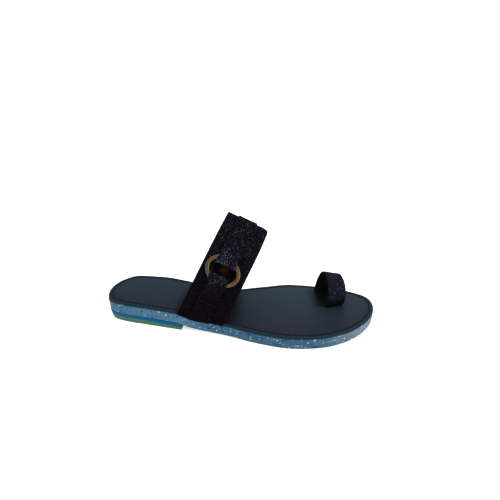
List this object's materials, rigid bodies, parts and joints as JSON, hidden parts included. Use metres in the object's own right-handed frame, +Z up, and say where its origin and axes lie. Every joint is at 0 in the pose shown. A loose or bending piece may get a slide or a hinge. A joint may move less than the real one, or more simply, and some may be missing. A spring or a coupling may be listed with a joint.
{
  "type": "toe-loop slide sandal",
  "caption": "Flat open slide sandal for a right foot: foam sole with a low heel block, board footbed, wide instep band with a brass ring, and a big-toe loop.",
  "frame": {"origin": "on the floor, below the middle of the sole's length and width", "axes": "+X from heel to toe, +Y to the inner side of the foot, +Z up"},
  "size_m": [0.25, 0.0936, 0.0988],
  "materials": {
    "green_rubber": "matte moulded rubber",
    "blue_foam": "matte cut foam",
    "speckled_foam": "matte cut foam with dark blue and white flecks",
    "slate_board": "satin leather board, sewn round the edge",
    "dark_fabric": "dark glitter weave",
    "brass": "polished brass"
  },
  "bodies": {
    "root": {"heel_top_piece": "green_rubber", "heel_lift": "blue_foam", "outsole": "speckled_foam", "footbed": "slate_board", "instep_band": "dark_fabric", "ring_strap_upper": "dark_fabric", "ring_strap_lower": "dark_fabric", "ring": "brass", "toe_loop": "dark_fabric"}
  },
  "joints": []
}
